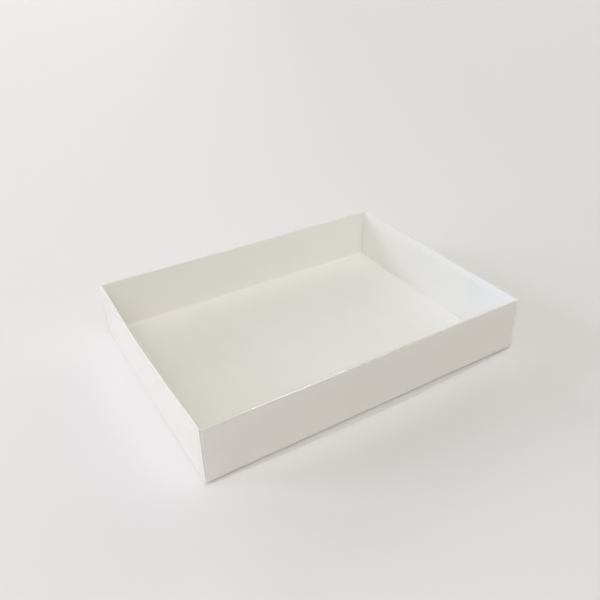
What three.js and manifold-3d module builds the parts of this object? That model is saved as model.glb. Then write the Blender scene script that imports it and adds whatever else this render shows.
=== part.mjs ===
// A shallow white tray folded from card, closed by a clear lift-off lid folded from plastic sheet.
// Units are millimetres and +Z is up. The origin is on the surface that the box stands on, under its middle.
// The long side walls face -Y (front) and +Y (back), and the short end walls face -X (left) and +X (right).

import * as THREE from "three";
import { mergeVertices } from "three/addons/utils/BufferGeometryUtils.js";
import Module from "manifold-3d";

// Driving sizes of the tray
const TRAY_LENGTH = 150; // outside, along X
const TRAY_WIDTH = 112; // outside, along Y
const TRAY_HEIGHT = 26; // from the surface it stands on to the top of its walls
const BOARD = 0.4; // thickness of the card
const LAYER_GAP = 0.06; // air between the layers of a folded end wall
const END_WALL_BOW = 1.5; // how far an end wall's top edge springs out at its middle, with the lid's fold
const END_WALL_BULGE = 0.3; // how far its outer layer also stands out, half way up, between crease and fold
const CORNER_TAB_LENGTH = 16; // how far a side wall's tab reaches along the end wall that hides it
const CORNER_TAB_TAPER = 2; // how much a corner tab's free end is cut back, above and below
const CORNER_TAB_MARGIN = 0.4; // above the floor, and below the fold at the top of the end wall
const LOCK_TONGUE_LENGTH = 18; // along Y
const LOCK_TONGUE_SPACING = 58; // between the middles of the two tongues of one end wall
const LOCK_TONGUE_THICKNESS = 0.3; // pressed thinner than the card, to slip into its notch
const LOCK_NOTCH_CLEARANCE = 0.3; // round a tongue in the floor's notch

// Driving sizes of the lid
const SHEET = 0.2; // thickness of the clear sheet
const LID_SLIP = 0.2; // play left between the tray's walls and the lid
const LID_HEADROOM = 0.2; // between the tray's top edges and the lid's top panel
const LID_GROUND_GAP = 0.6; // between the skirts' lower edges and the surface
const SIDE_SKIRT_BOW = 3; // how far a long skirt's lower edge stands out at its middle
const END_SKIRT_BOW = 0.6; // the same for a short skirt, beyond the fold above it
const GLUE_TAB_LENGTH = 12; // how far a long skirt's tab reaches behind the short skirt
const GLUE_TAB_TAPER = 1.5; // how much a glue tab's free end is cut back, above and below
const GLUE_TAB_MARGIN = 0.8; // above a skirt's lower edge, and below the lid's top panel
const GLUE_LINE = 0.06; // thickness of the adhesive between a glue tab and its skirt

// How finely the bowed panels are divided
const SIDE_SEGMENTS = 16;
const END_SEGMENTS = 20;
const HEIGHT_SEGMENTS = 6;
const TAB_SEGMENTS = 4;

// Sizes that follow from the driving ones
const halfLength = TRAY_LENGTH / 2;
const halfWidth = TRAY_WIDTH / 2;
const betweenSideWalls = TRAY_WIDTH - 2 * BOARD;
const foldUnderside = TRAY_HEIGHT - BOARD;
const tabOuterX = halfLength - BOARD - LAYER_GAP;
const tabInnerX = tabOuterX - BOARD;
const liningOuterX = tabInnerX - LAYER_GAP;
const liningInnerX = liningOuterX - BOARD;
const notchInnerX = liningInnerX - LOCK_NOTCH_CLEARANCE;
const notchHalfLength = LOCK_TONGUE_LENGTH / 2 + LOCK_NOTCH_CLEARANCE;

const skirtInnerX = halfLength + END_WALL_BULGE + LID_SLIP + SHEET + GLUE_LINE;
const skirtInnerY = halfWidth + LID_SLIP;
const skirtOuterX = skirtInnerX + SHEET;
const glueTabOuterX = skirtInnerX - GLUE_LINE;
const skirtOuterY = skirtInnerY + SHEET;
const skirtTop = TRAY_HEIGHT + LID_HEADROOM;
const skirtDepth = skirtTop - LID_GROUND_GAP;

const LEFT_AND_RIGHT = [
  ["left", -1],
  ["right", 1],
];
const FRONT_AND_BACK = [
  ["front", -1],
  ["back", 1],
];

const whiteCard = new THREE.MeshStandardMaterial({ color: 0xf0eee9, roughness: 0.7, metalness: 0 });
const clearSheet = new THREE.MeshStandardMaterial({
  color: 0xf5f8fa,
  roughness: 0.06,
  metalness: 0,
  transparent: true,
  opacity: 0.2,
});

const wasm = await Module();
wasm.setup();

// The stretch from near to far, measured outwards from the middle on one side, as [low, high].
function span(side, near, far) {
  return side > 0 ? [near, far] : [-far, -near];
}

// A stretch of the given length with its middle at centre, as [low, high].
function around(centre, length) {
  return [centre - length / 2, centre + length / 2];
}

// A box that fills three [low, high] stretches, divided along X, Y and Z so that it can be bent.
function slab(x, y, z, segments = [1, 1, 1]) {
  const size = [x, y, z].map(([low, high]) => high - low);
  const middle = [x, y, z].map(([low, high]) => (low + high) / 2);
  return new THREE.BoxGeometry(...size, ...segments).translate(...middle);
}

// Moves each vertex to where the function place puts it.
function bent(geometry, place) {
  const positions = geometry.attributes.position;
  const point = new THREE.Vector3();
  for (let i = 0; i < positions.count; i += 1) {
    place(point.fromBufferAttribute(positions, i));
    positions.setXYZ(i, point.x, point.y, point.z);
  }
  geometry.computeVertexNormals();
  return geometry;
}

// Joins closed geometries that overlap into one solid.
function joined(geometries) {
  const solids = geometries.map((geometry) => {
    const bare = new THREE.BufferGeometry();
    bare.setAttribute("position", geometry.attributes.position);
    bare.setIndex(geometry.index);
    const merged = mergeVertices(bare);
    const vertProperties = merged.attributes.position.array;
    const triVerts = new Uint32Array(merged.index.array);
    return new wasm.Manifold(new wasm.Mesh({ numProp: 3, vertProperties, triVerts }));
  });
  const { vertProperties, triVerts } = solids.reduce((whole, solid) => whole.add(solid)).getMesh();
  const geometry = new THREE.BufferGeometry();
  geometry.setAttribute("position", new THREE.BufferAttribute(vertProperties, 3));
  geometry.setIndex(new THREE.BufferAttribute(triVerts, 1));
  geometry.computeVertexNormals();
  return geometry;
}

// An end wall and its layers spring outwards most at the middle of the top edge, and not at all at the floor.
function springEndWall(side) {
  return (point) => {
    const along = Math.cos((Math.PI * point.y) / TRAY_WIDTH);
    point.x += side * END_WALL_BOW * along * (point.z / TRAY_HEIGHT) ** 2;
  };
}

// The outer layer of an end wall is held only by its floor crease and its top fold, and bulges between them.
function bulgeEndWall(side) {
  return (point) => {
    point.x += side * END_WALL_BULGE * Math.sin((Math.PI * point.z) / foldUnderside);
  };
}

// A long skirt stands out most at the middle of its lower edge, and not at all at the fold above it.
function springSideSkirt(side) {
  return (point) => {
    const along = Math.cos((Math.PI * point.x) / (2 * glueTabOuterX));
    point.y += side * SIDE_SKIRT_BOW * along * ((skirtTop - point.z) / skirtDepth) ** 2;
  };
}

// The lid's short folds are pushed out by the end walls' top edges, and bow with them.
function bowLidEnd(point) {
  const along = Math.cos((Math.PI * point.y) / (2 * skirtOuterY));
  point.x += Math.sign(point.x) * END_WALL_BOW * along;
}

// A short skirt, and the glue tabs behind it, hang from the bowed fold and stand out further below it.
function springEndSkirt(point) {
  const along = Math.cos((Math.PI * point.y) / (2 * skirtOuterY));
  point.x += Math.sign(point.x) * END_SKIRT_BOW * along * ((skirtTop - point.z) / skirtDepth) ** 2;
  bowLidEnd(point);
}

// A tab narrows by taper, above and below, from its root at rootY to its free end.
function narrow(rootY, length, [bottom, top], taper) {
  const middle = (bottom + top) / 2;
  return (point) => {
    const reach = Math.abs(point.y - rootY) / length;
    point.z = middle + (point.z - middle) * (1 - (2 * taper * reach) / (top - bottom));
  };
}

// The floor's outline goes up the right end and down the left one, round the notches for the lock tongues.
function floorOutline() {
  const endX = halfLength - BOARD;
  const endY = betweenSideWalls / 2;
  const points = [];
  for (const side of [1, -1]) {
    const add = (x, y) => points.push(new THREE.Vector2(side * x, side * y));
    add(endX, -endY);
    for (const middle of [-LOCK_TONGUE_SPACING / 2, LOCK_TONGUE_SPACING / 2]) {
      add(endX, middle - notchHalfLength);
      add(notchInnerX, middle - notchHalfLength);
      add(notchInnerX, middle + notchHalfLength);
      add(endX, middle + notchHalfLength);
    }
    add(endX, endY);
  }
  return new THREE.Shape(points);
}

// An end wall's lining folds over its top and hangs down to the floor: this is its section, in X and Z.
function liningSection(side) {
  const section = new THREE.Shape();
  const depth = foldUnderside - BOARD;
  section.moveTo(side * halfLength, foldUnderside);
  section.lineTo(side * halfLength, TRAY_HEIGHT);
  section.lineTo(side * liningInnerX, TRAY_HEIGHT);
  for (let i = 0; i <= HEIGHT_SEGMENTS; i += 1) {
    section.lineTo(side * liningInnerX, foldUnderside - (depth * i) / HEIGHT_SEGMENTS);
  }
  for (let i = HEIGHT_SEGMENTS; i >= 0; i -= 1) {
    section.lineTo(side * liningOuterX, foldUnderside - (depth * i) / HEIGHT_SEGMENTS);
  }
  return section;
}

// The lining with its two tongues, which reach down through the floor's notches and hold it in place.
function endLining(side) {
  const lining = new THREE.ExtrudeGeometry(liningSection(side), {
    depth: betweenSideWalls,
    steps: END_SEGMENTS,
    bevelEnabled: false,
  });
  lining.rotateX(Math.PI / 2).translate(0, betweenSideWalls / 2, 0);
  const thinned = (BOARD - LOCK_TONGUE_THICKNESS) / 2;
  const tongueX = span(side, liningInnerX + thinned, liningOuterX - thinned);
  const rootInLining = 2 * BOARD;
  const tongues = FRONT_AND_BACK.map(([, end]) =>
    slab(tongueX, around((end * LOCK_TONGUE_SPACING) / 2, LOCK_TONGUE_LENGTH), [0, rootInLining]),
  );
  return joined([bent(lining, springEndWall(side)), ...tongues]);
}

// A side wall's tab, folded round the corner and hidden between the end wall and its lining.
function cornerTab(side, end) {
  const root = halfWidth - BOARD;
  const z = [BOARD + CORNER_TAB_MARGIN, foldUnderside - CORNER_TAB_MARGIN];
  const tab = slab(
    span(side, tabInnerX, tabOuterX),
    span(end, root - CORNER_TAB_LENGTH, root),
    z,
    [1, TAB_SEGMENTS, HEIGHT_SEGMENTS],
  );
  bent(tab, narrow(end * root, CORNER_TAB_LENGTH, z, CORNER_TAB_TAPER));
  return bent(tab, springEndWall(side));
}

// A long skirt's tab, folded round the corner and glued to the inside of the short skirt.
function glueTab(side, end) {
  const z = [LID_GROUND_GAP + GLUE_TAB_MARGIN, skirtTop - GLUE_TAB_MARGIN];
  const tab = slab(
    span(side, glueTabOuterX - SHEET, glueTabOuterX),
    span(end, skirtInnerY - GLUE_TAB_LENGTH, skirtInnerY),
    z,
    [1, TAB_SEGMENTS, HEIGHT_SEGMENTS],
  );
  bent(tab, narrow(end * skirtInnerY, GLUE_TAB_LENGTH, z, GLUE_TAB_TAPER));
  return bent(tab, springEndSkirt);
}

function addPiece(group, name, geometry, material) {
  const mesh = new THREE.Mesh(geometry, material);
  mesh.name = name;
  group.add(mesh);
}

function makeTray() {
  const tray = new THREE.Group();
  const betweenEndWalls = around(0, 2 * tabOuterX);
  const wholeWidth = around(0, TRAY_WIDTH);
  const floor = new THREE.ExtrudeGeometry(floorOutline(), { depth: BOARD, bevelEnabled: false });
  addPiece(tray, "tray_floor", floor, whiteCard);
  for (const [place, end] of FRONT_AND_BACK) {
    const wall = slab(betweenEndWalls, span(end, halfWidth - BOARD, halfWidth), [0, TRAY_HEIGHT]);
    addPiece(tray, `tray_${place}_wall`, wall, whiteCard);
  }
  for (const [place, side] of LEFT_AND_RIGHT) {
    const endX = span(side, halfLength - BOARD, halfLength);
    const wall = slab(endX, wholeWidth, [0, foldUnderside], [1, END_SEGMENTS, HEIGHT_SEGMENTS]);
    bent(wall, bulgeEndWall(side));
    addPiece(tray, `tray_${place}_wall`, bent(wall, springEndWall(side)), whiteCard);
    addPiece(tray, `tray_${place}_lining`, endLining(side), whiteCard);
    for (const [corner, end] of FRONT_AND_BACK) {
      addPiece(tray, `tray_${corner}_${place}_tab`, cornerTab(side, end), whiteCard);
    }
  }
  return tray;
}

function makeLid() {
  const lid = new THREE.Group();
  const betweenEndSkirts = around(0, 2 * glueTabOuterX);
  const wholeWidth = around(0, 2 * skirtOuterY);
  const hanging = [LID_GROUND_GAP, skirtTop];
  const topZ = [skirtTop, skirtTop + SHEET];
  const top = slab(around(0, 2 * skirtOuterX), wholeWidth, topZ, [1, END_SEGMENTS, 1]);
  addPiece(lid, "lid_top", bent(top, bowLidEnd), clearSheet);
  for (const [place, end] of FRONT_AND_BACK) {
    const skirtY = span(end, skirtInnerY, skirtOuterY);
    const skirt = slab(betweenEndSkirts, skirtY, hanging, [SIDE_SEGMENTS, 1, HEIGHT_SEGMENTS]);
    addPiece(lid, `lid_${place}_skirt`, bent(skirt, springSideSkirt(end)), clearSheet);
  }
  for (const [place, side] of LEFT_AND_RIGHT) {
    const skirtX = span(side, skirtInnerX, skirtOuterX);
    const skirt = slab(skirtX, wholeWidth, hanging, [1, END_SEGMENTS, HEIGHT_SEGMENTS]);
    addPiece(lid, `lid_${place}_skirt`, bent(skirt, springEndSkirt), clearSheet);
    for (const [corner, end] of FRONT_AND_BACK) {
      addPiece(lid, `lid_${corner}_${place}_glue_tab`, glueTab(side, end), clearSheet);
    }
  }
  return lid;
}

const box = new THREE.Group();
box.add(makeTray(), makeLid());

export default box;
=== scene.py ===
"""A shallow white card tray under its clear lift-off lid: folded panels, finishes, light and camera."""
from math import cos, radians, sin

import bpy
import numpy as np
from mathutils import Matrix, Vector


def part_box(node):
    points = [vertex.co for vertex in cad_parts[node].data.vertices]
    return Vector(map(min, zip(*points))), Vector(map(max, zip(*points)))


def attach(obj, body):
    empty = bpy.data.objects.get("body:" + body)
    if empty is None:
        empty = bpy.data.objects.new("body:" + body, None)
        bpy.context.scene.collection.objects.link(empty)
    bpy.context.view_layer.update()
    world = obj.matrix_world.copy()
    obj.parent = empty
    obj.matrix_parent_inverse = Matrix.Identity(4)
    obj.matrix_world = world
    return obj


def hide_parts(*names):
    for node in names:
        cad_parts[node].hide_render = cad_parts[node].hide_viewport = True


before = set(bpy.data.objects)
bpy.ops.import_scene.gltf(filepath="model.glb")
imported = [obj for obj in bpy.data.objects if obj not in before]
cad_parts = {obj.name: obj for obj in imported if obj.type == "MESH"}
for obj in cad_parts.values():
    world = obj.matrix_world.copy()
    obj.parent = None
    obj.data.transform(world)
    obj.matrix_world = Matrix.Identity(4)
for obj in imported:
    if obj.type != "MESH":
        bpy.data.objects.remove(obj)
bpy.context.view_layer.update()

MM = 0.001

# The long sides face along Y and the ends along X, each with the sign of its direction
SIDES = {"front": -1, "back": 1}
ENDS = {"left": -1, "right": 1}

# The camera, fitted to the tray's corners in a square picture: angles in degrees, the roll in radians
CAMERA_AZIMUTH = -30.53
CAMERA_ELEVATION = 31.80
CAMERA_ROLL = -0.0218
CAMERA_DISTANCE = 301.76 * MM
CAMERA_MOVED_RIGHT = -1.78 * MM
CAMERA_MOVED_UP = 18.73 * MM
CAMERA_NEAREST = 10 * MM
FOCAL_LENGTH_IN_PICTURES = 644.8 / 600
SENSOR_MM = 36

# The ground and the windows, in metres
GROUND_RADIUS = 2.5
GROUND_CORNERS = 96
GROUND_GAP = 0.05 * MM
WINDOW_DISTANCE = 8.0
WINDOW_SIZE = 2.5

# How closely a soft light keeps to its direction, and how many clear faces a look goes through
BROAD_LIGHT = 9
PATCH_LIGHT = 60
LAMP_LIGHT = 300
CLEAR_FACES = 32

# Sizes of the tray, the main ones read from the frame
floor_low, floor_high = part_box("tray_floor")
front_low, front_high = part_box("tray_front_wall")
lining_low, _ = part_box("tray_right_lining")
BOARD = floor_high.z - floor_low.z
HALF_LENGTH = floor_high.x + BOARD
HALF_WIDTH = -front_low.y
TRAY_HEIGHT = front_high.z
CORNER_X = front_high.x
LINING_FACE_X = lining_low.x
END_WALL_BOW = {-1: 1.1 * MM, 1: 0.2 * MM}
END_WALL_BULGE = {-1: 0.3 * MM, 1: 0.1 * MM}
END_WALL_INSET = 0.25 * MM
SIDE_WALL_BOW = 0.3 * MM
END_CREASE = 0.6 * MM
SIDE_CREASE = 2.0 * MM
CORNER_FOLD = 0.42 * MM
RIM = 0.9 * MM
RIM_DEPTH = 2.5 * MM
CORNER_TAB_TAPER = 2.0 * MM
LINING_SIDE_GAP = 0.2 * MM
TONGUE_LENGTH = 18.0 * MM
TONGUE_SPACING = 58.0 * MM
TONGUE_NEAR = (TONGUE_SPACING - TONGUE_LENGTH) / 2
TONGUE_FAR = (TONGUE_SPACING + TONGUE_LENGTH) / 2
NOTCH_CLEARANCE = 0.3 * MM
FRONT_LEFT_PULL = np.array([-0.2, -1.0, 0.0]) * MM

# Sizes of the lid, the main ones read from the frame
lid_low, lid_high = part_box("lid_top")
skirt_low, skirt_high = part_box("lid_front_skirt")
SHEET = lid_high.z - lid_low.z
LID_HALF_WIDTH = lid_high.y
LID_TOP = lid_high.z
LID_FOOT = skirt_low.z
LID_CORNER_X = skirt_high.x
GLUE_LINE = 0.06 * MM
LID_HALF_LENGTH = LID_CORNER_X + GLUE_LINE + SHEET
SKIRT_BOW = -skirt_low.y - LID_HALF_WIDTH
FRONT_SKIRT_EASE = 0.56 * MM
SIDE_SKIRT_BOW = {-1: SKIRT_BOW - FRONT_SKIRT_EASE, 1: SKIRT_BOW}
END_SKIRT_BOW = {-1: -1.2 * MM, 1: 0.6 * MM}
LID_FOLD = 0.6 * MM
LID_CORNER_FOLD = 0.65 * MM
GLUE_TAB_TAPER = 1.5 * MM
LID_SAG = 0.16 * MM
LID_RIPPLE = 0.02 * MM
RIPPLE_DEPTH = 5.0 * MM

# Each slow wave of the lid's ripple: its turning along the half length and the half width, and its start
RIPPLE_WAVES = ((5.3, 1.1, 0.7), (2.3, -4.1, 2.1), (9.1, 3.7, 0.0))

# How finely the panels are divided
FOLD_STEPS = 8
ROLL_STEPS = 14
LEVELS = 14
TAB_STEPS = 8
LONG_STEPS = 64
SHORT_STEPS = 48
FOLD_EDGE_STEPS = 2
TONGUE_STEPS = 8
BETWEEN_STEPS = 16
FLOOR_CORNER_STEPS = 6
LINING_CORNER_STEPS = 8

# The turn, in degrees, from which two faces meet in a sharp edge
SHARP_TURN = 40

ALL_BORDERS = ("first_row", "last_row", "first_column", "last_column")


def divided(*stretches):
    """Stations along a line: each stretch (start, end, count) is divided evenly, one after another."""
    parts = [np.linspace(start, end, count + 1) for start, end, count in stretches]
    return np.concatenate([parts[0]] + [part[1:] for part in parts[1:]])


def tongue_stations(edge, near, far, corner_steps):
    """Stations across an end: up to the first tongue, over it, between the two, over the second, and on."""
    return divided(
        (-edge, -far, corner_steps),
        (-far, -near, TONGUE_STEPS),
        (-near, near, BETWEEN_STEPS),
        (near, far, TONGUE_STEPS),
        (far, edge, corner_steps),
    )


def fold_rows(radius, thickness, centre_height, start, end, steps):
    """A fold in section, as rows of (outer set-back, outer height, inner set-back, inner height).

    The outer face turns on the radius and the inner one on the radius less the thickness, round one centre.
    So at each angle a face lies its own radius times (1 - cosine) behind its flat face, and its radius times
    the sine above the centre."""
    turn = np.radians(np.linspace(start, end, steps + 1))
    faces = [radius, radius - thickness]
    columns = [[face * (1 - np.cos(turn)), centre_height + face * np.sin(turn)] for face in faces]
    return np.concatenate(columns).T


def straight_rows(last_row, heights):
    """Rows that carry straight on from a fold's last row to each height."""
    rows = np.repeat(last_row[None], len(heights), axis=0)
    rows[:, 1] = heights
    rows[:, 3] = heights
    return rows


def upright_rows(low, high, count):
    """Rows of a flat upright panel: no set-back, at even heights from low to high."""
    heights = np.linspace(low, high, count + 1)
    return straight_rows(np.zeros(4), heights)


def end_columns(face, thickness, stations, end):
    """The ground plan of a panel that faces along X: columns of outer x, y, inner x, y and facing x, y."""
    outer_x = np.full_like(stations, end * face)
    inner_x = np.full_like(stations, end * (face - thickness))
    facing = np.full_like(stations, end)
    return np.stack([outer_x, stations, inner_x, stations, facing, np.zeros_like(stations)], axis=1)


def side_columns(corner_x, face, radius, thickness, side, steps):
    """The ground plan of a panel that faces along Y and turns a quarter round at both ends, to its tabs.

    Each column is a centre plus the radius times the facing direction: the centres run along a straight line
    one radius inside the face, and at its two ends the facing direction turns from along X to along Y."""
    turn = np.radians(np.linspace(0, 90, FOLD_STEPS + 1))
    first = np.full_like(turn, radius - corner_x)
    straight = np.linspace(radius - corner_x, corner_x - radius, steps + 1)[1:-1]
    last = np.full_like(turn, corner_x - radius)
    centre_x = np.concatenate([first, straight, last])
    facing_x = np.concatenate([-np.cos(turn), np.zeros_like(straight), np.sin(turn)])
    facing_y = side * np.concatenate([np.sin(turn), np.ones_like(straight), np.cos(turn)])
    centre_y = side * (face - radius)
    plan = []
    for reach in (radius, radius - thickness):
        plan += [centre_x + reach * facing_x, centre_y + reach * facing_y]
    return np.stack(plan + [facing_x, facing_y], axis=1)


def panel_points(columns, rows):
    """The outer and the inner grid of a panel.

    Each column's point on the ground plan is moved back against its facing direction by the row's set-back
    and raised to the row's height."""
    grids = []
    for face in (0, 1):
        grid = np.empty((len(rows), len(columns), 3))
        plan = columns[:, 2 * face:2 * face + 2]
        grid[..., :2] = plan[None] - rows[:, None, 2 * face, None] * columns[None, :, 4:6]
        grid[..., 2] = rows[:, None, 2 * face + 1]
        grids.append(grid)
    return grids


def level_points(x, y, height):
    """A level grid: a point at each pair of the stations x and y, all at one height."""
    plan = np.stack(np.meshgrid(x, y), axis=-1)
    return np.concatenate([plan, np.full(plan.shape[:2] + (1,), height)], axis=2)


def long_panel_folds(rows, columns):
    """The fold mark of a long panel: 1 on the first rows and at the two ends, which turn, and 0 between."""
    fold = np.zeros((len(rows), len(columns)))
    fold[:FOLD_STEPS + 1] = 1
    fold[:, :FOLD_STEPS + 1] = 1
    fold[:, -FOLD_STEPS - 1:] = 1
    return fold


def out_of_square(points):
    """The box is pulled out at its front left corner.

    Each point moves by the pull times two shares that fall evenly from 1 to 0: one along the length, from
    left to right, and one across the width, from front to back."""
    along = np.maximum(0.5 - points[:, 0] / (2 * HALF_LENGTH), 0)
    across = np.maximum(0.5 - points[:, 1] / (2 * HALF_WIDTH), 0)
    return points + (along * across)[:, None] * FRONT_LEFT_PULL


def closed_sheet(name, outer, inner, shown=None, joined=(), fold=None):
    """A closed thin panel between two grids of points of one shape.

    Neighbouring points make four-sided faces on the outer grid and, turned round, on the inner one. A rim
    of faces joins the two grids wherever a shown cell borders on one that isn't shown. Rim faces are marked
    as cut edges, except along the borders of the grid named in joined, where the next panel carries on. The
    fold mark is kept with each point."""
    rows, columns = outer.shape[:2]
    if shown is None:
        shown = np.ones((rows - 1, columns - 1), bool)
    front = np.arange(rows * columns).reshape(rows, columns)
    corners = [front[:-1, :-1], front[:-1, 1:], front[1:, 1:], front[1:, :-1]]
    outside = np.stack([corner[shown] for corner in corners], axis=1)
    inside = outside[:, ::-1] + rows * columns
    bordered = np.pad(shown, 1)
    neighbours = {
        "first_row": (bordered[:-2, 1:-1], 1, 0),
        "last_row": (bordered[2:, 1:-1], 3, 2),
        "first_column": (bordered[1:-1, :-2], 0, 3),
        "last_column": (bordered[1:-1, 2:], 2, 1),
    }
    cells = {
        "first_row": np.s_[:1, :],
        "last_row": np.s_[-1:, :],
        "first_column": np.s_[:, :1],
        "last_column": np.s_[:, -1:],
    }
    rims = []
    cuts = []
    for border, (neighbour, first, second) in neighbours.items():
        edge = shown & ~neighbour
        cut = np.ones_like(shown)
        if border in joined:
            cut[cells[border]] = False
        a = corners[first][edge]
        b = corners[second][edge]
        rims.append(np.stack([a, b, b + rows * columns, a + rows * columns], axis=1))
        cuts.append(cut[edge])
    faces = np.concatenate([outside, inside] + rims)
    cut_edge = np.concatenate([np.zeros(2 * len(outside))] + cuts).astype(np.float32)
    points = out_of_square(np.concatenate([outer.reshape(-1, 3), inner.reshape(-1, 3)]))
    used, faces = np.unique(faces, return_inverse=True)
    faces = faces.reshape(-1, 4)
    points = points[used]
    corner = points[faces]
    volume = sum(
        np.einsum("ij,ij->", corner[:, 0], np.cross(corner[:, i], corner[:, i + 1])) for i in (1, 2)
    )
    if volume < 0:
        faces = faces[:, ::-1]
    mesh = bpy.data.meshes.new(name)
    mesh.from_pydata(points.tolist(), [], faces.tolist())
    mesh.polygons.foreach_set("use_smooth", np.ones(len(faces), bool))
    mesh.attributes.new("cut_edge", "FLOAT", "FACE").data.foreach_set("value", cut_edge)
    amount = np.zeros((rows, columns)) if fold is None else np.broadcast_to(fold, (rows, columns))
    amount = np.concatenate([amount.ravel(), amount.ravel()])[used].astype(np.float32)
    mesh.attributes.new("fold", "FLOAT", "POINT").data.foreach_set("value", amount)
    mesh.update()
    mesh.set_sharp_from_angle(angle=radians(SHARP_TURN))
    piece = bpy.data.objects.new(name, mesh)
    bpy.context.scene.collection.objects.link(piece)
    return piece


def fitted(piece, body, node, material):
    """Puts a panel in the place of its node of the frame, moving with its body, in its finish."""
    piece.data.materials.append(material)
    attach(piece, body)
    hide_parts(node)


# Forms that the card and the clear sheet take


def spring_end_wall(points, end):
    """An end wall's layers stand out by the cosine along the wall times the square of the height."""
    along = np.cos(np.pi * points[..., 1] / (2 * HALF_WIDTH))
    points[..., 0] += end * END_WALL_BOW[end] * along * (points[..., 2] / TRAY_HEIGHT) ** 2


def bulge_end_wall(points, end):
    """The outer layer also stands out by half a sine wave up the wall times the cosine along it."""
    share = np.clip(points[..., 2] / (TRAY_HEIGHT - BOARD), 0, 1)
    along = np.cos(np.pi * points[..., 1] / (2 * HALF_WIDTH))
    points[..., 0] += end * END_WALL_BULGE[end] * np.sin(np.pi * share) * along


def spring_side_wall(points, side):
    """A side wall's top edge leans in by the cosine along the wall times the square of the height."""
    along = np.cos(np.pi * points[..., 0] / (2 * CORNER_X))
    points[..., 1] -= side * SIDE_WALL_BOW * along * (points[..., 2] / TRAY_HEIGHT) ** 2


def drop(points):
    """How far down a lid's skirt a point lies, from 0 at the fold to 1 at its lower edge."""
    return np.clip((LID_TOP - SHEET - points[..., 2]) / (LID_TOP - SHEET - LID_FOOT), 0, None)


def spring_side_skirt(points, side):
    """A long skirt stands out by the cosine along it times the square of the drop."""
    along = np.cos(np.pi * points[..., 0] / (2 * LID_CORNER_X))
    points[..., 1] += side * SIDE_SKIRT_BOW[side] * along * drop(points) ** 2


def spring_end_skirt(points, end):
    """A short skirt and its glue tabs hang from a fold that bows with the end wall.

    Further down, the bow changes by its own amount times the square of the drop. All of it goes by the
    cosine along the skirt."""
    along = np.cos(np.pi * points[..., 1] / (2 * LID_HALF_WIDTH))
    points[..., 0] += end * along * (END_WALL_BOW[end] + END_SKIRT_BOW[end] * drop(points) ** 2)


def bow_lid_ends(points):
    """The top's short edges bow with the end walls, and the sheet between by its share of the distance."""
    along = np.cos(np.pi * points[..., 1] / (2 * LID_HALF_WIDTH))
    share = points[..., 0] / (LID_HALF_LENGTH - LID_FOLD)
    bow = np.where(share < 0, END_WALL_BOW[-1], END_WALL_BOW[1])
    points[..., 0] += bow * along * share


def ripple_lid(points):
    """The lid's top sags by a product of two cosines, and lies below its height by a sum of slow waves.

    Each wave is a sine less 1. Below the top, both fade by the square of the share of depth that is left."""
    x = points[..., 0] / LID_HALF_LENGTH
    y = points[..., 1] / LID_HALF_WIDTH
    sag = np.cos(np.pi * x / 2) * np.cos(np.pi * y / 2)
    waves = sum(np.sin(along * x + across * y + start) for along, across, start in RIPPLE_WAVES)
    waves -= len(RIPPLE_WAVES)
    fade = np.clip(1 - (LID_TOP - points[..., 2]) / RIPPLE_DEPTH, 0, 1) ** 2
    points[..., 2] += fade * (LID_RIPPLE * waves - LID_SAG * sag)


def narrow_tab(points, root, free, taper):
    """A tab's upper and lower edges slope in by the taper from its root to its free end."""
    low = points[..., 2].min()
    high = points[..., 2].max()
    middle = (low + high) / 2
    reach = (points[..., 1] - root) / (free - root)
    points[..., 2] = middle + (points[..., 2] - middle) * (1 - 2 * taper * reach / (high - low))


# Finishes


def place(tree, kind, inputs=None, **properties):
    """Adds a node with its properties, and sets or links its inputs."""
    node = tree.nodes.new(kind)
    for name, value in properties.items():
        setattr(node, name, value)
    for name, value in (inputs or {}).items():
        if isinstance(value, bpy.types.NodeSocket):
            tree.links.new(value, node.inputs[name])
        else:
            node.inputs[name].default_value = value
    return node


def new_finish(name):
    """An empty material and its node tree."""
    material = bpy.data.materials.new(name)
    material.use_nodes = True
    material.node_tree.nodes.clear()
    return material, material.node_tree


def mixed_colour(tree, factor, first, second):
    """A colour between two others."""
    inputs = {0: factor, 6: first, 7: second}
    return place(tree, "ShaderNodeMix", inputs, data_type="RGBA").outputs[2]


def grain(tree, scale, detail, stretch=(1, 1, 1)):
    """Cloudy noise over the piece, with a number of clouds to the metre, drawn out along an axis."""
    where = place(tree, "ShaderNodeTexCoord").outputs["Object"]
    drawn = place(tree, "ShaderNodeMapping", {"Vector": where, "Scale": stretch})
    inputs = {"Vector": drawn.outputs["Vector"], "Scale": scale, "Detail": detail, "Roughness": 0.6}
    return place(tree, "ShaderNodeTexNoise", inputs).outputs["Fac"]


def ranged(tree, value, low, high):
    """Noise, which keeps mostly between 0.3 and 0.7, spread from low to high."""
    inputs = {"Value": value, "From Min": 0.3, "From Max": 0.7, "To Min": low, "To Max": high}
    return place(tree, "ShaderNodeMapRange", inputs).outputs["Result"]


def worked_out(tree, operation, *values):
    """One step of arithmetic on values."""
    return place(tree, "ShaderNodeMath", dict(enumerate(values)), operation=operation).outputs[0]


def times(tree, first, second):
    """The product of two values."""
    return worked_out(tree, "MULTIPLY", first, second)


def plus(tree, first, second):
    """The sum of two values, held between 0 and 1."""
    return place(tree, "ShaderNodeMath", {0: first, 1: second}, operation="ADD", use_clamp=True).outputs[0]


def dot_product(tree, first, second):
    """The dot product of two vectors."""
    inputs = {0: first, 1: second}
    return place(tree, "ShaderNodeVectorMath", inputs, operation="DOT_PRODUCT").outputs["Value"]


def marked(tree, name):
    """The mark that closed_sheet left on a mesh."""
    return place(tree, "ShaderNodeAttribute", attribute_name=name).outputs["Fac"]


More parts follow.
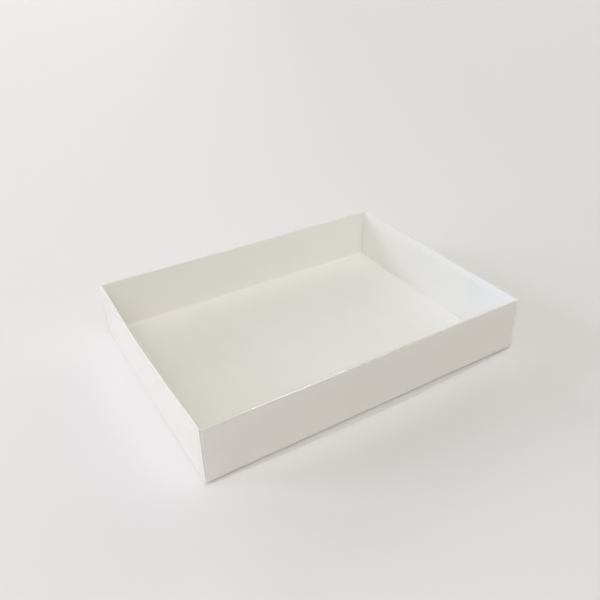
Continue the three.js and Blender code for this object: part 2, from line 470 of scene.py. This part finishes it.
def bumped(tree, height, distance, strength, below=None):
    """A normal raised by a height, on top of another bump."""
    inputs = {"Height": height, "Distance": distance, "Strength": strength}
    if below is not None:
        inputs["Normal"] = below
    return place(tree, "ShaderNodeBump", inputs).outputs["Normal"]


def white_card_finish():
    """Coated folding board: warm white with faint mottling and a fine fibrous tooth.

    Folds are a little duller, and cut edges greyer and rougher."""
    material, tree = new_finish("white_card")
    clouds = grain(tree, scale=45, detail=3)
    mottle = grain(tree, scale=1500, detail=5, stretch=(0.45, 1, 1))
    tooth = grain(tree, scale=4200, detail=3, stretch=(0.5, 1, 1))
    fold = marked(tree, "fold")
    cut = marked(tree, "cut_edge")
    warm = (0.872, 0.858, 0.816, 1)
    cool = (0.856, 0.848, 0.814, 1)
    dull = (0.846, 0.830, 0.790, 1)
    core = (0.820, 0.800, 0.755, 1)
    face = mixed_colour(tree, ranged(tree, clouds, 0, 1), warm, cool)
    face = mixed_colour(tree, ranged(tree, mottle, 0, 0.6), face, dull)
    face = mixed_colour(tree, times(tree, fold, ranged(tree, mottle, 0.1, 0.6)), face, dull)
    colour = mixed_colour(tree, cut, face, core)
    roughness = plus(tree, ranged(tree, mottle, 0.5, 0.62), times(tree, cut, 0.3))
    normal = bumped(tree, clouds, distance=0.2 * MM, strength=0.25)
    normal = bumped(tree, mottle, distance=0.03 * MM, strength=0.35, below=normal)
    normal = bumped(tree, tooth, distance=0.012 * MM, strength=0.4, below=normal)
    inputs = {
        "Base Color": colour,
        "Roughness": roughness,
        "Specular IOR Level": 0.4,
        "Normal": normal,
    }
    surface = place(tree, "ShaderNodeBsdfPrincipled", inputs)
    place(tree, "ShaderNodeOutputMaterial", {"Surface": surface.outputs[0]})
    return material


def clear_sheet_finish(name, tint, edge_haze, gloss_share):
    """Clear lid sheet: light goes straight through, and each crossing mirrors once, on the face it enters.

    The mirror's share follows the angle of view for both faces of the sheet together: twice one face's
    share, divided by one plus that share. Faint scuffs, whitened folds and pale cut edges let a little less
    through."""
    material, tree = new_finish(name)
    scuffs = grain(tree, scale=260, detail=6, stretch=(1, 0.25, 1))
    waves = grain(tree, scale=28, detail=2)
    crinkles = grain(tree, scale=190, detail=2)
    fold = marked(tree, "fold")
    cut = marked(tree, "cut_edge")
    haze = ranged(tree, scuffs, 0.0, 0.008)
    haze = plus(tree, haze, times(tree, fold, ranged(tree, scuffs, 0.0, 0.05)))
    haze = plus(tree, haze, times(tree, cut, edge_haze))
    normal = bumped(tree, waves, distance=0.6 * MM, strength=0.25)
    normal = bumped(tree, crinkles, distance=0.35 * MM, strength=fold, below=normal)
    through = place(tree, "ShaderNodeBsdfTransparent", {"Color": tint})
    whitened = {"Base Color": (0.88, 0.90, 0.91, 1), "Roughness": 0.35}
    milky = place(tree, "ShaderNodeBsdfPrincipled", whitened)
    mirror = {"Color": (1, 1, 1, 1), "Roughness": 0.05, "Normal": normal}
    gloss = place(tree, "ShaderNodeBsdfAnisotropic", mirror)
    body = place(tree, "ShaderNodeMixShader", {0: haze, 1: through.outputs[0], 2: milky.outputs[0]})
    leaving = place(tree, "ShaderNodeNewGeometry").outputs["Backfacing"]
    entering = worked_out(tree, "SUBTRACT", 1.0, leaving)
    one_face = place(tree, "ShaderNodeFresnel", {"IOR": 1.56, "Normal": normal}).outputs[0]
    spread = worked_out(tree, "ADD", one_face, 1.0)
    both_faces = worked_out(tree, "DIVIDE", times(tree, one_face, 2.0), spread)
    share = times(tree, times(tree, both_faces, entering), gloss_share)
    surface = place(tree, "ShaderNodeMixShader", {0: share, 1: body.outputs[0], 2: gloss.outputs[0]})
    place(tree, "ShaderNodeOutputMaterial", {"Surface": surface.outputs[0]})
    return material


def ground_finish():
    """A plain pale surface with painted shade: it darkens a little from the back left to the front right, as
    the windows' light falls off.
    """
    material, tree = new_finish("pale_ground")
    pale = (0.798, 0.791, 0.786, 1)
    # Painted shade: the colour the ground takes towards the front right, standing in for the windows' light
    # falling off
    falloff_shade = (0.706, 0.699, 0.694, 1)
    to_front_right = (1, -0.4, 0)
    where = place(tree, "ShaderNodeTexCoord").outputs["Object"]
    inputs = {"Value": dot_product(tree, where, to_front_right), "From Min": -0.2, "From Max": 0.3}
    share = place(tree, "ShaderNodeMapRange", inputs, interpolation_type="SMOOTHSTEP").outputs["Result"]
    colour = mixed_colour(tree, share, pale, falloff_shade)
    inputs = {"Base Color": colour, "Roughness": 0.9, "Specular IOR Level": 0.2}
    surface = place(tree, "ShaderNodeBsdfPrincipled", inputs)
    place(tree, "ShaderNodeOutputMaterial", {"Surface": surface.outputs[0]})
    return material


# The tray


def tray_floor(material):
    """A flat grid, less the notches at its two ends that the lining's tongues go down into."""
    reach_x = HALF_LENGTH - END_CREASE
    reach_y = HALF_WIDTH - SIDE_CREASE
    notch_x = LINING_FACE_X - NOTCH_CLEARANCE
    near = TONGUE_NEAR - NOTCH_CLEARANCE
    far = TONGUE_FAR + NOTCH_CLEARANCE
    x = divided((-reach_x, -notch_x, 1), (-notch_x, notch_x, LONG_STEPS), (notch_x, reach_x, 1))
    y = tongue_stations(reach_y, near, far, FLOOR_CORNER_STEPS)
    top = level_points(x, y, BOARD)
    bottom = top - [0, 0, BOARD]
    middle_x = np.abs(x[1:] + x[:-1]) / 2
    middle_y = np.abs(y[1:] + y[:-1]) / 2
    notch = (middle_x[None] > notch_x) & (middle_y[:, None] > near) & (middle_y[:, None] < far)
    piece = closed_sheet("card_floor", top, bottom, ~notch, ALL_BORDERS)
    fitted(piece, "tray", "tray_floor", material)


def tray_side_wall(place_name, side, material):
    """A long wall: up from its floor crease to a cut top edge, and round a vertical fold at each end."""
    foot = fold_rows(SIDE_CREASE, BOARD, SIDE_CREASE, -90, 0, FOLD_STEPS)
    heights = np.linspace(SIDE_CREASE, TRAY_HEIGHT, LEVELS + 1)[1:]
    rows = np.concatenate([foot, straight_rows(foot[-1], heights)])
    columns = side_columns(CORNER_X, HALF_WIDTH, CORNER_FOLD, BOARD, side, LONG_STEPS)
    grids = panel_points(columns, rows)
    for grid in grids:
        spring_side_wall(grid, side)
    shown = np.ones((len(rows) - 1, len(columns) - 1), bool)
    shown[:FOLD_STEPS, :FOLD_STEPS] = False
    shown[:FOLD_STEPS, -FOLD_STEPS:] = False
    fold = long_panel_folds(rows, columns)
    joined = ("first_row", "first_column", "last_column")
    piece = closed_sheet(f"card_{place_name}_wall", *grids, shown, joined, fold)
    fitted(piece, "tray", f"tray_{place_name}_wall", material)


def tray_end_wall(place_name, end, material):
    """An end wall's outer layer: up from its floor crease to where the rolled top fold begins."""
    foot = fold_rows(END_CREASE, BOARD, END_CREASE, -90, 0, FOLD_STEPS)
    heights = np.linspace(END_CREASE, TRAY_HEIGHT - RIM / 2, LEVELS + 1)[1:]
    rows = np.concatenate([foot, straight_rows(foot[-1], heights)])
    crease_end = HALF_WIDTH - SIDE_CREASE
    cut_end = HALF_WIDTH - END_WALL_INSET
    y = divided((-cut_end, -crease_end, 1), (-crease_end, crease_end, SHORT_STEPS), (crease_end, cut_end, 1))
    columns = end_columns(HALF_LENGTH, BOARD, y, end)
    grids = panel_points(columns, rows)
    for grid in grids:
        bulge_end_wall(grid, end)
        spring_end_wall(grid, end)
    shown = np.ones((len(rows) - 1, len(columns) - 1), bool)
    shown[:FOLD_STEPS, [0, -1]] = False
    fold = np.zeros((len(rows), 1))
    fold[:FOLD_STEPS + 1] = 1
    fold[-1] = 1
    piece = closed_sheet(f"card_{place_name}_wall", *grids, shown, ("first_row", "last_row"), fold)
    fitted(piece, "tray", f"tray_{place_name}_wall", material)


def tray_lining(place_name, end, material):
    """An end wall's lining: half round over the top, then down inside to the floor, ending in two tongues.

    The rim is pinched: below it the lining moves in to its full distance by half a cosine wave."""
    rim_foot = TRAY_HEIGHT - RIM / 2
    over = fold_rows(RIM / 2, BOARD, rim_foot, 0, 180, ROLL_STEPS)
    pinched = np.linspace(rim_foot, rim_foot - RIM_DEPTH, FOLD_STEPS + 1)[1:]
    hanging = np.linspace(rim_foot - RIM_DEPTH, BOARD, LEVELS + 1)[1:]
    heights = np.concatenate([pinched, hanging, [0]])
    down = straight_rows(over[-1], heights)
    moved = np.clip((rim_foot - heights) / RIM_DEPTH, 0, 1)
    down[:, [0, 2]] += (HALF_LENGTH - LINING_FACE_X - RIM) * (1 - np.cos(np.pi * moved[:, None])) / 2
    rows = np.concatenate([over, down])
    edge = HALF_WIDTH - BOARD - LINING_SIDE_GAP
    y = tongue_stations(edge, TONGUE_NEAR, TONGUE_FAR, LINING_CORNER_STEPS)
    columns = end_columns(HALF_LENGTH, BOARD, y, end)
    grids = panel_points(columns, rows)
    for grid in grids:
        spring_end_wall(grid, end)
    middle = np.abs(y[1:] + y[:-1]) / 2
    shown = np.ones((len(rows) - 1, len(y) - 1), bool)
    shown[-1] = (middle > TONGUE_NEAR) & (middle < TONGUE_FAR)
    fold = np.zeros((len(rows), 1))
    fold[:ROLL_STEPS + 1] = 1
    piece = closed_sheet(f"card_{place_name}_lining", *grids, shown, ("first_row",), fold)
    fitted(piece, "tray", f"tray_{place_name}_lining", material)


def tab(node, name, top, corner_x, thickness, root, end, side, taper, spring):
    """A tab that carries on from a long panel's corner fold, narrowed to its free end.

    It springs with its end panel. Its foot and its free end are its node's, and its top is the lower of its
    node's and the one given."""
    low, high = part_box(node)
    free = min(abs(low.y), abs(high.y))
    stations = side * np.linspace(root, free, TAB_STEPS + 1)
    columns = end_columns(corner_x, thickness, stations, end)
    rows = upright_rows(low.z, min(high.z, top), LEVELS)
    grids = panel_points(columns, rows)
    for grid in grids:
        narrow_tab(grid, side * root, side * free, taper)
        spring(grid, end)
    return closed_sheet(name, *grids, None, ("first_column",))


def make_tray(material):
    """All the panels of the tray's blank, folded up."""
    tray_floor(material)
    for place_name, side in SIDES.items():
        tray_side_wall(place_name, side, material)
    root = HALF_WIDTH - CORNER_FOLD
    taper = CORNER_TAB_TAPER
    top = TRAY_HEIGHT - RIM - RIM_DEPTH
    for place_name, end in ENDS.items():
        tray_end_wall(place_name, end, material)
        tray_lining(place_name, end, material)
        for corner, side in SIDES.items():
            node = f"tray_{corner}_{place_name}_tab"
            name = f"card_{corner}_{place_name}_tab"
            piece = tab(node, name, top, CORNER_X, BOARD, root, end, side, taper, spring_end_wall)
            fitted(piece, "tray", node, material)


# The lid


def skirt_rows():
    """A skirt in section: a quarter-round fold from the lid's top, then straight down to a cut edge."""
    over = fold_rows(LID_FOLD, SHEET, LID_TOP - LID_FOLD, 90, 0, FOLD_STEPS)
    heights = np.linspace(LID_TOP - LID_FOLD, LID_FOOT, LEVELS + 1)[1:]
    return np.concatenate([over, straight_rows(over[-1], heights)])


def lid_top(material):
    """A flat grid between the folds, sagging and rippling a little."""
    reach_x = LID_HALF_LENGTH - LID_FOLD
    reach_y = LID_HALF_WIDTH - LID_FOLD
    flat_x = reach_x - LID_FOLD
    flat_y = reach_y - LID_FOLD
    x = divided(
        (-reach_x, -flat_x, FOLD_EDGE_STEPS),
        (-flat_x, flat_x, LONG_STEPS),
        (flat_x, reach_x, FOLD_EDGE_STEPS),
    )
    y = divided(
        (-reach_y, -flat_y, FOLD_EDGE_STEPS),
        (-flat_y, flat_y, SHORT_STEPS),
        (flat_y, reach_y, FOLD_EDGE_STEPS),
    )
    top = level_points(x, y, LID_TOP)
    ripple_lid(top)
    bow_lid_ends(top)
    bottom = top - [0, 0, SHEET]
    fold = np.zeros(top.shape[:2])
    fold[[0, -1]] = 1
    fold[:, [0, -1]] = 1
    piece = closed_sheet("clear_top", top, bottom, None, ALL_BORDERS, fold)
    fitted(piece, "lid", "lid_top", material)


def lid_side_skirt(place_name, side, material):
    """A long skirt: down from the top's fold, round a vertical fold at each end, standing out below."""
    rows = skirt_rows()
    columns = side_columns(LID_CORNER_X, LID_HALF_WIDTH, LID_CORNER_FOLD, SHEET, side, LONG_STEPS)
    grids = panel_points(columns, rows)
    for grid in grids:
        ripple_lid(grid)
        spring_side_skirt(grid, side)
    fold = long_panel_folds(rows, columns)
    joined = ("first_row", "first_column", "last_column")
    piece = closed_sheet(f"clear_{place_name}_skirt", *grids, None, joined, fold)
    fitted(piece, "lid", f"lid_{place_name}_skirt", material)


def lid_end_skirt(place_name, end, material):
    """A short skirt: down from the top's fold, with cut edges at both corners, bowed with the end wall."""
    rows = skirt_rows()
    fold_end = LID_HALF_WIDTH - LID_FOLD
    y = divided(
        (-LID_HALF_WIDTH, -fold_end, 1),
        (-fold_end, fold_end, SHORT_STEPS),
        (fold_end, LID_HALF_WIDTH, 1),
    )
    columns = end_columns(LID_HALF_LENGTH, SHEET, y, end)
    grids = panel_points(columns, rows)
    for grid in grids:
        ripple_lid(grid)
        spring_end_skirt(grid, end)
    shown = np.ones((len(rows) - 1, len(columns) - 1), bool)
    shown[:FOLD_STEPS, [0, -1]] = False
    fold = np.zeros((len(rows), 1))
    fold[:FOLD_STEPS + 1] = 1
    piece = closed_sheet(f"clear_{place_name}_skirt", *grids, shown, ("first_row",), fold)
    fitted(piece, "lid", f"lid_{place_name}_skirt", material)


def make_lid():
    """All the panels of the lid's blank, folded down. Glue joins tabs to skirts, so the tabs hardly show."""
    tint = (0.985, 0.987, 0.986, 1)
    glued_tint = (0.996, 0.996, 0.996, 1)
    material = clear_sheet_finish("clear_sheet", tint, edge_haze=0.06, gloss_share=1.0)
    glued = clear_sheet_finish("clear_sheet_glued", glued_tint, edge_haze=0.02, gloss_share=0.15)
    lid_top(material)
    for place_name, side in SIDES.items():
        lid_side_skirt(place_name, side, material)
    root = LID_HALF_WIDTH - LID_CORNER_FOLD
    taper = GLUE_TAB_TAPER
    for place_name, end in ENDS.items():
        lid_end_skirt(place_name, end, material)
        for corner, side in SIDES.items():
            node = f"lid_{corner}_{place_name}_glue_tab"
            name = f"clear_{corner}_{place_name}_glue_tab"
            piece = tab(node, name, LID_TOP, LID_CORNER_X, SHEET, root, end, side, taper, spring_end_skirt)
            fitted(piece, "lid", node, glued)


# Ground, light and camera


def make_ground(material):
    """A wide ground: one flat face with its corners on a circle about the origin."""
    turn = np.linspace(0, 2 * np.pi, GROUND_CORNERS + 1)[:-1]
    height = np.full_like(turn, -GROUND_GAP)
    rim = np.stack([GROUND_RADIUS * np.cos(turn), GROUND_RADIUS * np.sin(turn), height], axis=1)
    mesh = bpy.data.meshes.new("ground")
    mesh.from_pydata(rim.tolist(), [], [list(range(len(rim)))])
    mesh.materials.append(material)
    ground = bpy.data.objects.new("ground", mesh)
    bpy.context.scene.collection.objects.link(ground)


def heading(azimuth, elevation):
    """A direction from the box: azimuth in degrees from the back towards the right, and elevation."""
    level = cos(radians(elevation))
    return sin(radians(azimuth)) * level, cos(radians(azimuth)) * level, sin(radians(elevation))


def soft_light(tree, towards, tightness, colour):
    """Light from about a direction: the colour times the exponential of the tightness times (cosine - 1)."""
    where = place(tree, "ShaderNodeTexCoord").outputs["Generated"]
    cosine = dot_product(tree, where, towards)
    falling = worked_out(tree, "MULTIPLY_ADD", cosine, tightness, -tightness)
    inputs = {0: colour, "Scale": worked_out(tree, "EXPONENT", falling)}
    return place(tree, "ShaderNodeVectorMath", inputs, operation="SCALE").outputs["Vector"]


def added(tree, first, lights):
    """The sum of a colour and several lights."""
    total = first
    for light in lights:
        total = place(tree, "ShaderNodeVectorMath", {0: total, 1: light}, operation="ADD").outputs["Vector"]
    return total


def window(azimuth, elevation, power, colour):
    """A large square lamp, far off, that faces the box and that mirrors don't show."""
    data = bpy.data.lights.new("window", "AREA")
    data.shape = "SQUARE"
    data.size = WINDOW_SIZE
    data.energy = power
    data.color = colour
    lamp = bpy.data.objects.new("window", data)
    towards = Vector(heading(azimuth, elevation))
    lamp.location = towards * WINDOW_DISTANCE
    lamp.rotation_euler = towards.to_track_quat("Z", "Y").to_euler()
    lamp.visible_glossy = False
    bpy.context.scene.collection.objects.link(lamp)


def make_light():
    """Windows behind the box and soft lights in the room. The camera and mirrors see a pale room instead.

    That room has a bluish patch behind on the right, and a small lamp high up in front on the right, which
    makes the glints on the lid's front fold."""
    window(azimuth=-90, elevation=7, power=150, colour=(1.0, 0.90, 0.82))
    window(azimuth=-60, elevation=20, power=250, colour=(0.76, 0.79, 1.0))
    window(azimuth=-30, elevation=20, power=117, colour=(0.92, 1.0, 0.94))
    window(azimuth=0, elevation=20, power=128, colour=(0.945, 0.945, 1.0))
    world = bpy.data.worlds.new("room")
    bpy.context.scene.world = world
    world.use_nodes = True
    tree = world.node_tree
    shed = added(tree, (0, 0, 0), [
        soft_light(tree, heading(60, 8), BROAD_LIGHT, (3.00, 2.97, 2.45)),
        soft_light(tree, heading(150, 8), BROAD_LIGHT, (0.85, 0.70, 0.62)),
        soft_light(tree, heading(210, 60), BROAD_LIGHT, (3.45, 3.39, 3.33)),
    ])
    seen = added(tree, (0.88, 0.87, 0.82), [
        soft_light(tree, heading(60, 26), PATCH_LIGHT, (0.0, 0.40, 1.05)),
        soft_light(tree, heading(140, 52), LAMP_LIGHT, (36, 36, 34)),
    ])
    path = place(tree, "ShaderNodeLightPath").outputs
    mirrored = plus(tree, path["Is Glossy Ray"], path["Is Transmission Ray"])
    looked_at = plus(tree, path["Is Camera Ray"], mirrored)
    colour = mixed_colour(tree, looked_at, shed, seen)
    tree.links.new(colour, tree.nodes["Background"].inputs["Color"])


def make_camera():
    """The camera, back from the origin along its azimuth and elevation, rolled, and moved in its plane."""
    azimuth = radians(CAMERA_AZIMUTH)
    elevation = radians(CAMERA_ELEVATION)
    level = cos(elevation)
    back = Vector((sin(azimuth) * level, -cos(azimuth) * level, sin(elevation)))
    level_right = Vector((0, 0, 1)).cross(back).normalized()
    level_up = back.cross(level_right)
    right = cos(CAMERA_ROLL) * level_right + sin(CAMERA_ROLL) * level_up
    up = cos(CAMERA_ROLL) * level_up - sin(CAMERA_ROLL) * level_right
    eye = back * CAMERA_DISTANCE + right * CAMERA_MOVED_RIGHT + up * CAMERA_MOVED_UP
    data = bpy.data.cameras.new("camera")
    data.sensor_width = SENSOR_MM
    data.lens = SENSOR_MM * FOCAL_LENGTH_IN_PICTURES
    data.clip_start = CAMERA_NEAREST
    camera = bpy.data.objects.new("camera", data)
    bpy.context.scene.collection.objects.link(camera)
    camera.matrix_world = Matrix([*zip(right, up, back, eye), (0, 0, 0, 1)])
    bpy.context.scene.camera = camera


make_camera()
make_light()
make_ground(ground_finish())
make_tray(white_card_finish())
make_lid()
bpy.context.scene.view_settings.view_transform = "Standard"
bpy.context.scene.cycles.transparent_max_bounces = CLEAR_FACES
